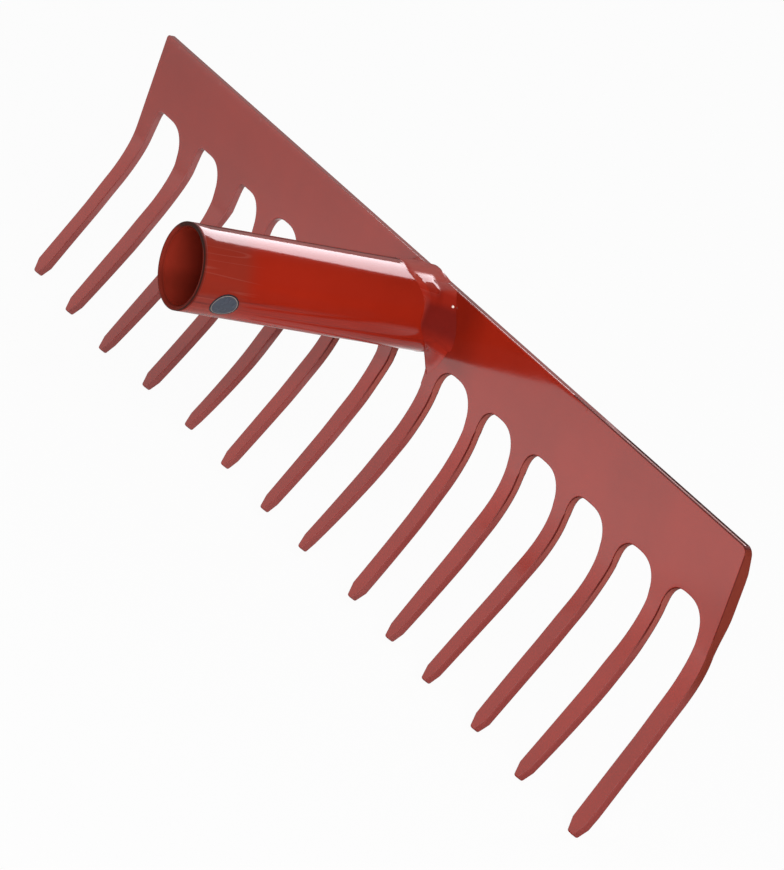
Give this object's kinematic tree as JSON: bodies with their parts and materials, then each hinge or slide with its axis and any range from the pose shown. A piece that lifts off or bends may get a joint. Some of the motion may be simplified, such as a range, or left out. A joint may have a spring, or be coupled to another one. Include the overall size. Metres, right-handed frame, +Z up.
{
  "type": "garden rake head",
  "caption": "Garden rake head: bent sheet-steel blade with a row of tines, and a round socket tube welded square to its middle for a handle.",
  "frame": {"origin": "middle of the socket tube's open mouth, on the tube's axis", "axes": "-Y out of the tube's mouth, +Y along the tube to the blade, X along the blade from its first tine to its last, +Z up from the tine points to the blade's top edge"},
  "size_m": [0.4161, 0.0925, 0.1003],
  "materials": {
    "blade_enamel": "glossy red enamel over sheet steel",
    "tube_enamel": "glossy red enamel over steel tube",
    "weld_enamel": "glossy red enamel over a weld",
    "label_film": "satin film"
  },
  "bodies": {
    "root": {"blade": "blade_enamel", "socket_tube": "tube_enamel", "weld_bead": "weld_enamel", "round_label": "label_film"}
  },
  "joints": []
}
